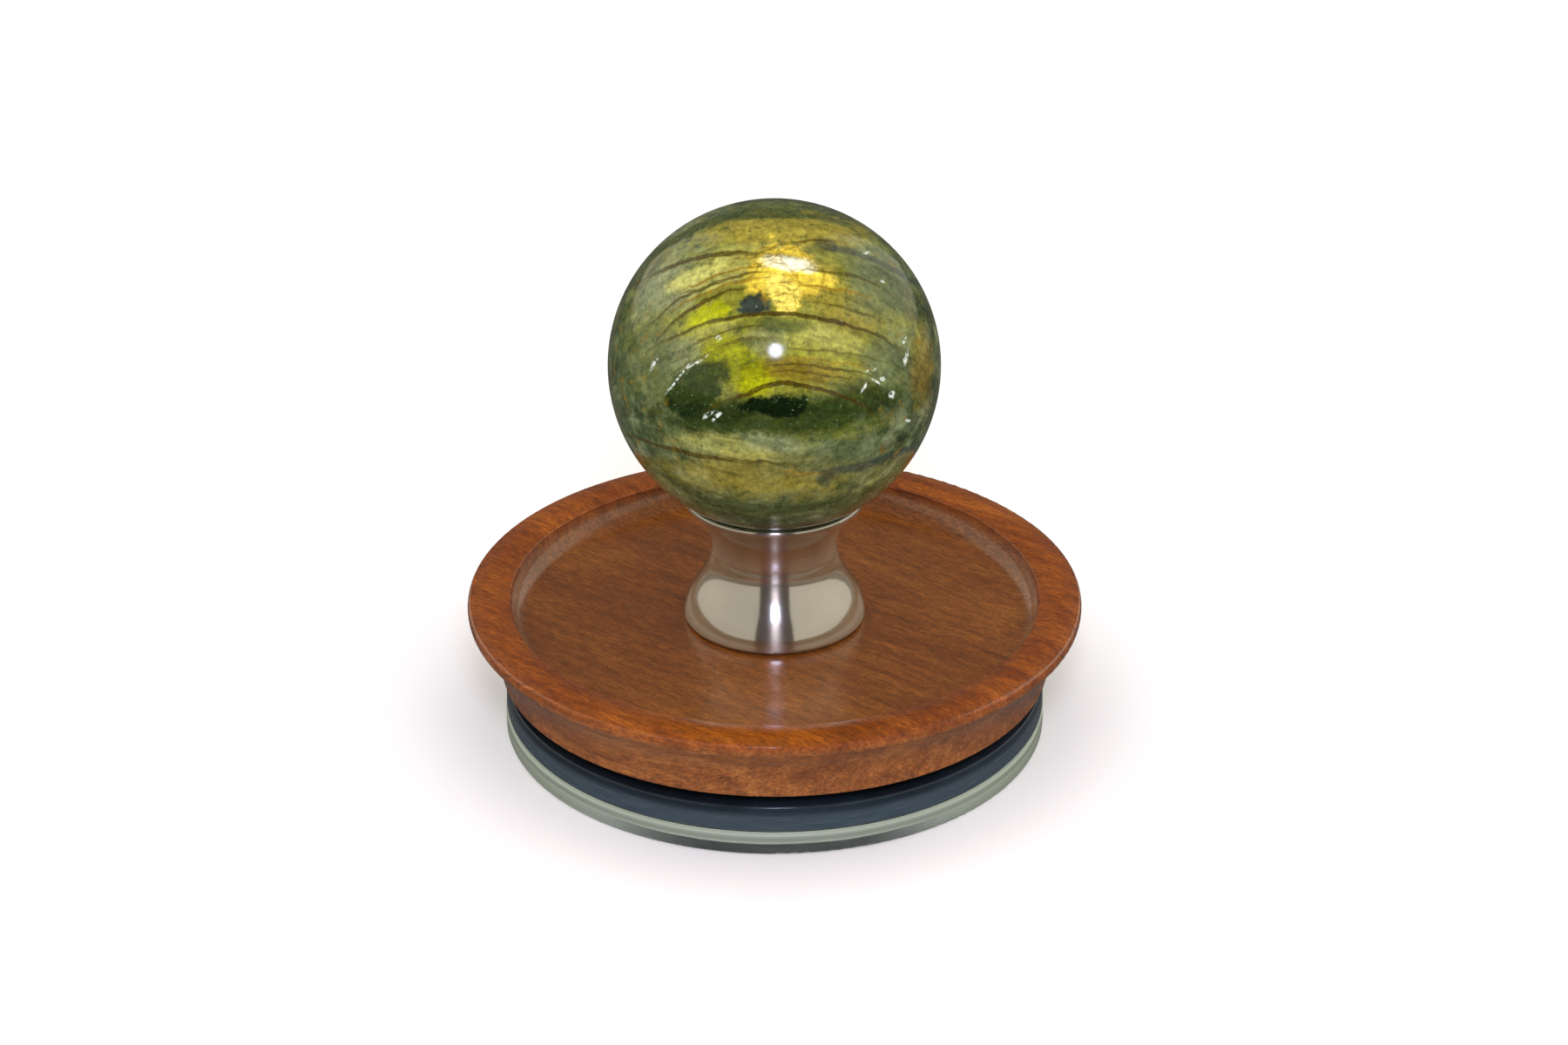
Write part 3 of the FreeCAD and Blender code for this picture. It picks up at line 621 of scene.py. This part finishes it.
def edge_glass():
    """Clear sole: polished below, paler and cloudier away from the front as a painted reflection, with some
    random haze and a ground band round its upper edge striped with painted highlight lines.
    """
    m = Material("sole_glass")
    _, y, z = m.split(m.place)
    radius, _ = m.radius_and_turn()
    wander = m.math("MULTIPLY", m.noise(m.mapping(m.place, scale=(140, 140, 20)), 1.0, 3), 0.00018)
    level = m.math("ADD", z, wander)
    streaks_at = m.join(m.math("MULTIPLY", radius, 20.0), 0.0, m.math("MULTIPLY", z, 5200.0))
    streaks = m.noise(streaks_at, 1.0, 2, 0.6)
    smear = m.noise(m.mapping(m.place, scale=(90, 90, 900)), 1.0, 4, 0.6)
    grit = m.noise(m.place, 5200.0, 3, 0.6)

    in_band = m.span(level, BAND_LOW, BAND_LOW + BAND_FADE)
    band = m.math("MULTIPLY", in_band, m.span(streaks, 0.3, 0.6, 0.72, 1.0))
    # painted reflection: paler towards the back and sides, as frosting and colour, with some random haze added
    painted_side_reflection = m.span(y, REFLECTION_LEAST_AT, REFLECTION_FULL_FROM, 0.05, 0.85)
    haze_and_side_reflection = m.math("ADD", painted_side_reflection, m.math("MULTIPLY", smear, 0.12))
    ground_and_reflection = m.math("MULTIPLY", m.span(radius, EDGE_INSIDE, EDGE), m.math("MAXIMUM", band, haze_and_side_reflection))

    tint = m.mix(m.span(streaks, 0.35, 0.65), GROUND_DARK, GROUND_PALE)
    # painted highlight lines striped across the ground band
    highlight_stripes = m.ramp(m.math("DIVIDE", level, SOLE_HIGH.z), BAND_HIGHLIGHT_STRIPES)
    tint = m.mix(1.0, tint, highlight_stripes, "MULTIPLY")
    polished = m.span(smear, 0.45, 0.75, 0.03, 0.10)
    return m.set(
        Base_Color=m.mix(ground_and_reflection, CLEAR_GREEN, tint),
        Roughness=m.math("MAXIMUM", m.math("MULTIPLY", ground_and_reflection, 0.45), polished),
        IOR=1.55,
        Transmission_Weight=m.math("SUBTRACT", 1.0, m.math("MULTIPLY", ground_and_reflection, 0.65)),
        Normal=m.bump(m.math("MULTIPLY", grit, ground_and_reflection), depth=0.00001, strength=0.5),
    )


# ---------------------------------------------------------------- dress every node
STEEL = (0.60, 0.60, 0.60)
ZINC = (0.66, 0.68, 0.70)


def dress_all():
    dress("stone_ball", labradorite())
    dress("wooden_disc", turned_wood())
    dress("pedestal", brushed_nickel())
    dress("base_shell", navy_lacquer())
    dress("sole_plate", edge_glass())
    dress("sole_film", matt("black_film", (0.012, 0.012, 0.014), 0.5))
    dress("pedestal_gasket", matt("black_fibre", (0.03, 0.026, 0.022), 0.85, 3000.0))
    dress("magnet_carrier", matt("black_nylon", (0.022, 0.022, 0.024), 0.5))
    dress("bearing_cage", matt("natural_nylon", (0.62, 0.58, 0.46), 0.45))
    dress("ball_insert", lathe_metal("turned_brass", (0.78, 0.56, 0.24), 0.25))
    dress("spindle_hub", lathe_metal("turned_steel", STEEL, 0.28))
    dress("spindle_washer", lathe_metal("washer_steel", STEEL, 0.30))
    dress("handle_washer", lathe_metal("zinc_washer", ZINC, 0.32))
    dress("yoke_ring", lathe_metal("soft_iron", (0.34, 0.33, 0.32), 0.42, 0.0003))
    race_steel = lathe_metal("race_steel", (0.68, 0.68, 0.67), 0.15, 0.00006)
    dress("bearing_inner_race", race_steel)
    dress("bearing_outer_race", race_steel)
    dress("bearing_snap_ring", plated_metal("phosphated_spring", (0.10, 0.10, 0.10), 0.45))
    dress("bearing_balls", plated_metal("lapped_steel", (0.80, 0.80, 0.80), 0.06))
    zinc = plated_metal("zinc_plate", ZINC, 0.28)
    for node in ("handle_screw", "hub_screws", "carrier_screws", "spindle_screw"):
        dress(node, zinc)
    dress("yoke_screws", plated_metal("black_oxide", (0.09, 0.09, 0.09), 0.40))
    magnet_nickel = plated_metal("magnet_nickel", (0.74, 0.71, 0.65), 0.14)
    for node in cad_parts:
        if node.startswith("magnet_") and node != "magnet_carrier":
            dress(node, magnet_nickel)


dress_all()


# ---------------------------------------------------------------- floor, light and camera
CAMERA_DISTANCE = 0.600
CAMERA_LENS = 100.2  # millimetres, as is the sensor
SENSOR = 36.0
AIM = Vector((0.0013, 0, 0.0304))

FLOOR_SIZE = 8
FLOOR_GAP = 0.00002  # keeps the floor's face and the sole's apart
FLOOR_COLOURS = (0.97, 0.945, 0.94), (0.985, 0.96, 0.955)
WORLD_COLOUR, WORLD_STRENGTH = (1.0, 0.97, 0.94, 1), 0.10
SIDE_START, SIDE_HALF = 24.0, 32.5  # azimuth where the side boxes begin, and half of each one's arc
SIDE_RADIANCE = (-1, 0.66), (1, 0.76)  # left and right
SIDE_DISTANCE, SIDE_LIFT, SIDE_HEIGHT = 1.0, 0.56, 1.10
SIDE_COLOUR = (1.0, 0.945, 0.77)
FLASH_RISE, FLASH_TURN, FLASH_DISTANCE = CAMERA_RISE + 9.5, 1, 0.62
FLASH_SIZE, FLASH_RADIANCE, FLASH_COLOUR = 0.095, 54, (0.70, 0.72, 1.0)
FLASH_AIM = AIM + Vector((0, 0, 0.024))


def pale_floor():
    m = Material("pale_floor")
    cloud = m.noise(m.place, 3.0, 2, 0.5)
    m.set(Base_Color=m.mix(cloud, *FLOOR_COLOURS), Roughness=0.9, Specular_IOR_Level=0.1)
    bpy.ops.mesh.primitive_plane_add(size=FLOOR_SIZE)
    floor = bpy.context.object
    floor.name = "floor"
    floor.location.z = cad_low.z - FLOOR_GAP
    floor.data.materials.append(m.material)
    floor.visible_glossy = False


def soft_light(name, place, aim, size, radiance, colour=(1, 1, 1), glossy=True, shape="RECTANGLE"):
    """An area light of a given radiance that faces its aim."""
    light = bpy.data.lights.new(name, "AREA")
    light.shape = shape
    light.size, light.size_y = size
    area = size[0] * size[1] * (math.pi / 4 if shape == "DISK" else 1)
    light.energy = radiance * math.pi * area
    light.color = colour
    lamp = bpy.data.objects.new(name, light)
    lamp.location = place
    lamp.rotation_euler = (Vector(aim) - Vector(place)).to_track_quat("-Z", "Y").to_euler()
    lamp.visible_glossy = glossy
    bpy.context.scene.collection.objects.link(lamp)


def from_object(rise, turn, distance):
    """The point at this elevation, azimuth (degrees, 0 the front, 90 the right) and distance from the aim."""
    rise, turn = math.radians(rise), math.radians(turn)
    flat = math.cos(rise) * distance
    return AIM + Vector((math.sin(turn) * flat, -math.cos(turn) * flat, math.sin(rise) * distance))


def studio():
    world = bpy.data.worlds.new("studio")
    bpy.context.scene.world = world
    world.use_nodes = True
    background = world.node_tree.nodes["Background"]
    background.inputs["Color"].default_value = WORLD_COLOUR
    background.inputs["Strength"].default_value = WORLD_STRENGTH
    soft_light("overhead", (0, 0, 1.6), (0, 0, 0), size=(3.6, 3.6), radiance=1.04, glossy=False)
    soft_light("front_fill", from_object(28, 0, 1.7), AIM, size=(2.6, 1.4), radiance=0.80, glossy=False)
    width = 2 * math.tan(math.radians(SIDE_HALF))
    for side, radiance in SIDE_RADIANCE:
        for turn in (SIDE_START + SIDE_HALF, SIDE_START + 3 * SIDE_HALF):
            place = from_object(0, side * turn, SIDE_DISTANCE) + Vector((0, 0, SIDE_LIFT))
            aim = (AIM.x, AIM.y, place.z)
            soft_light("side_box", place, aim, (width, SIDE_HEIGHT), radiance, SIDE_COLOUR)
    flash = from_object(FLASH_RISE, FLASH_TURN, FLASH_DISTANCE)
    size = (FLASH_SIZE, FLASH_SIZE)
    soft_light("flash", flash, FLASH_AIM, size, FLASH_RADIANCE, FLASH_COLOUR, shape="DISK")


def camera():
    lens = bpy.data.cameras.new("camera")
    lens.lens = CAMERA_LENS
    lens.sensor_width = SENSOR
    lens.clip_start, lens.clip_end = 0.01, 20
    eye = bpy.data.objects.new("camera", lens)
    eye.location = from_object(CAMERA_RISE, 0, CAMERA_DISTANCE)
    eye.rotation_euler = (AIM - eye.location).to_track_quat("-Z", "Y").to_euler()
    bpy.context.scene.collection.objects.link(eye)
    bpy.context.scene.camera = eye


pale_floor()
studio()
camera()
bpy.context.scene.view_settings.view_transform = "Standard"
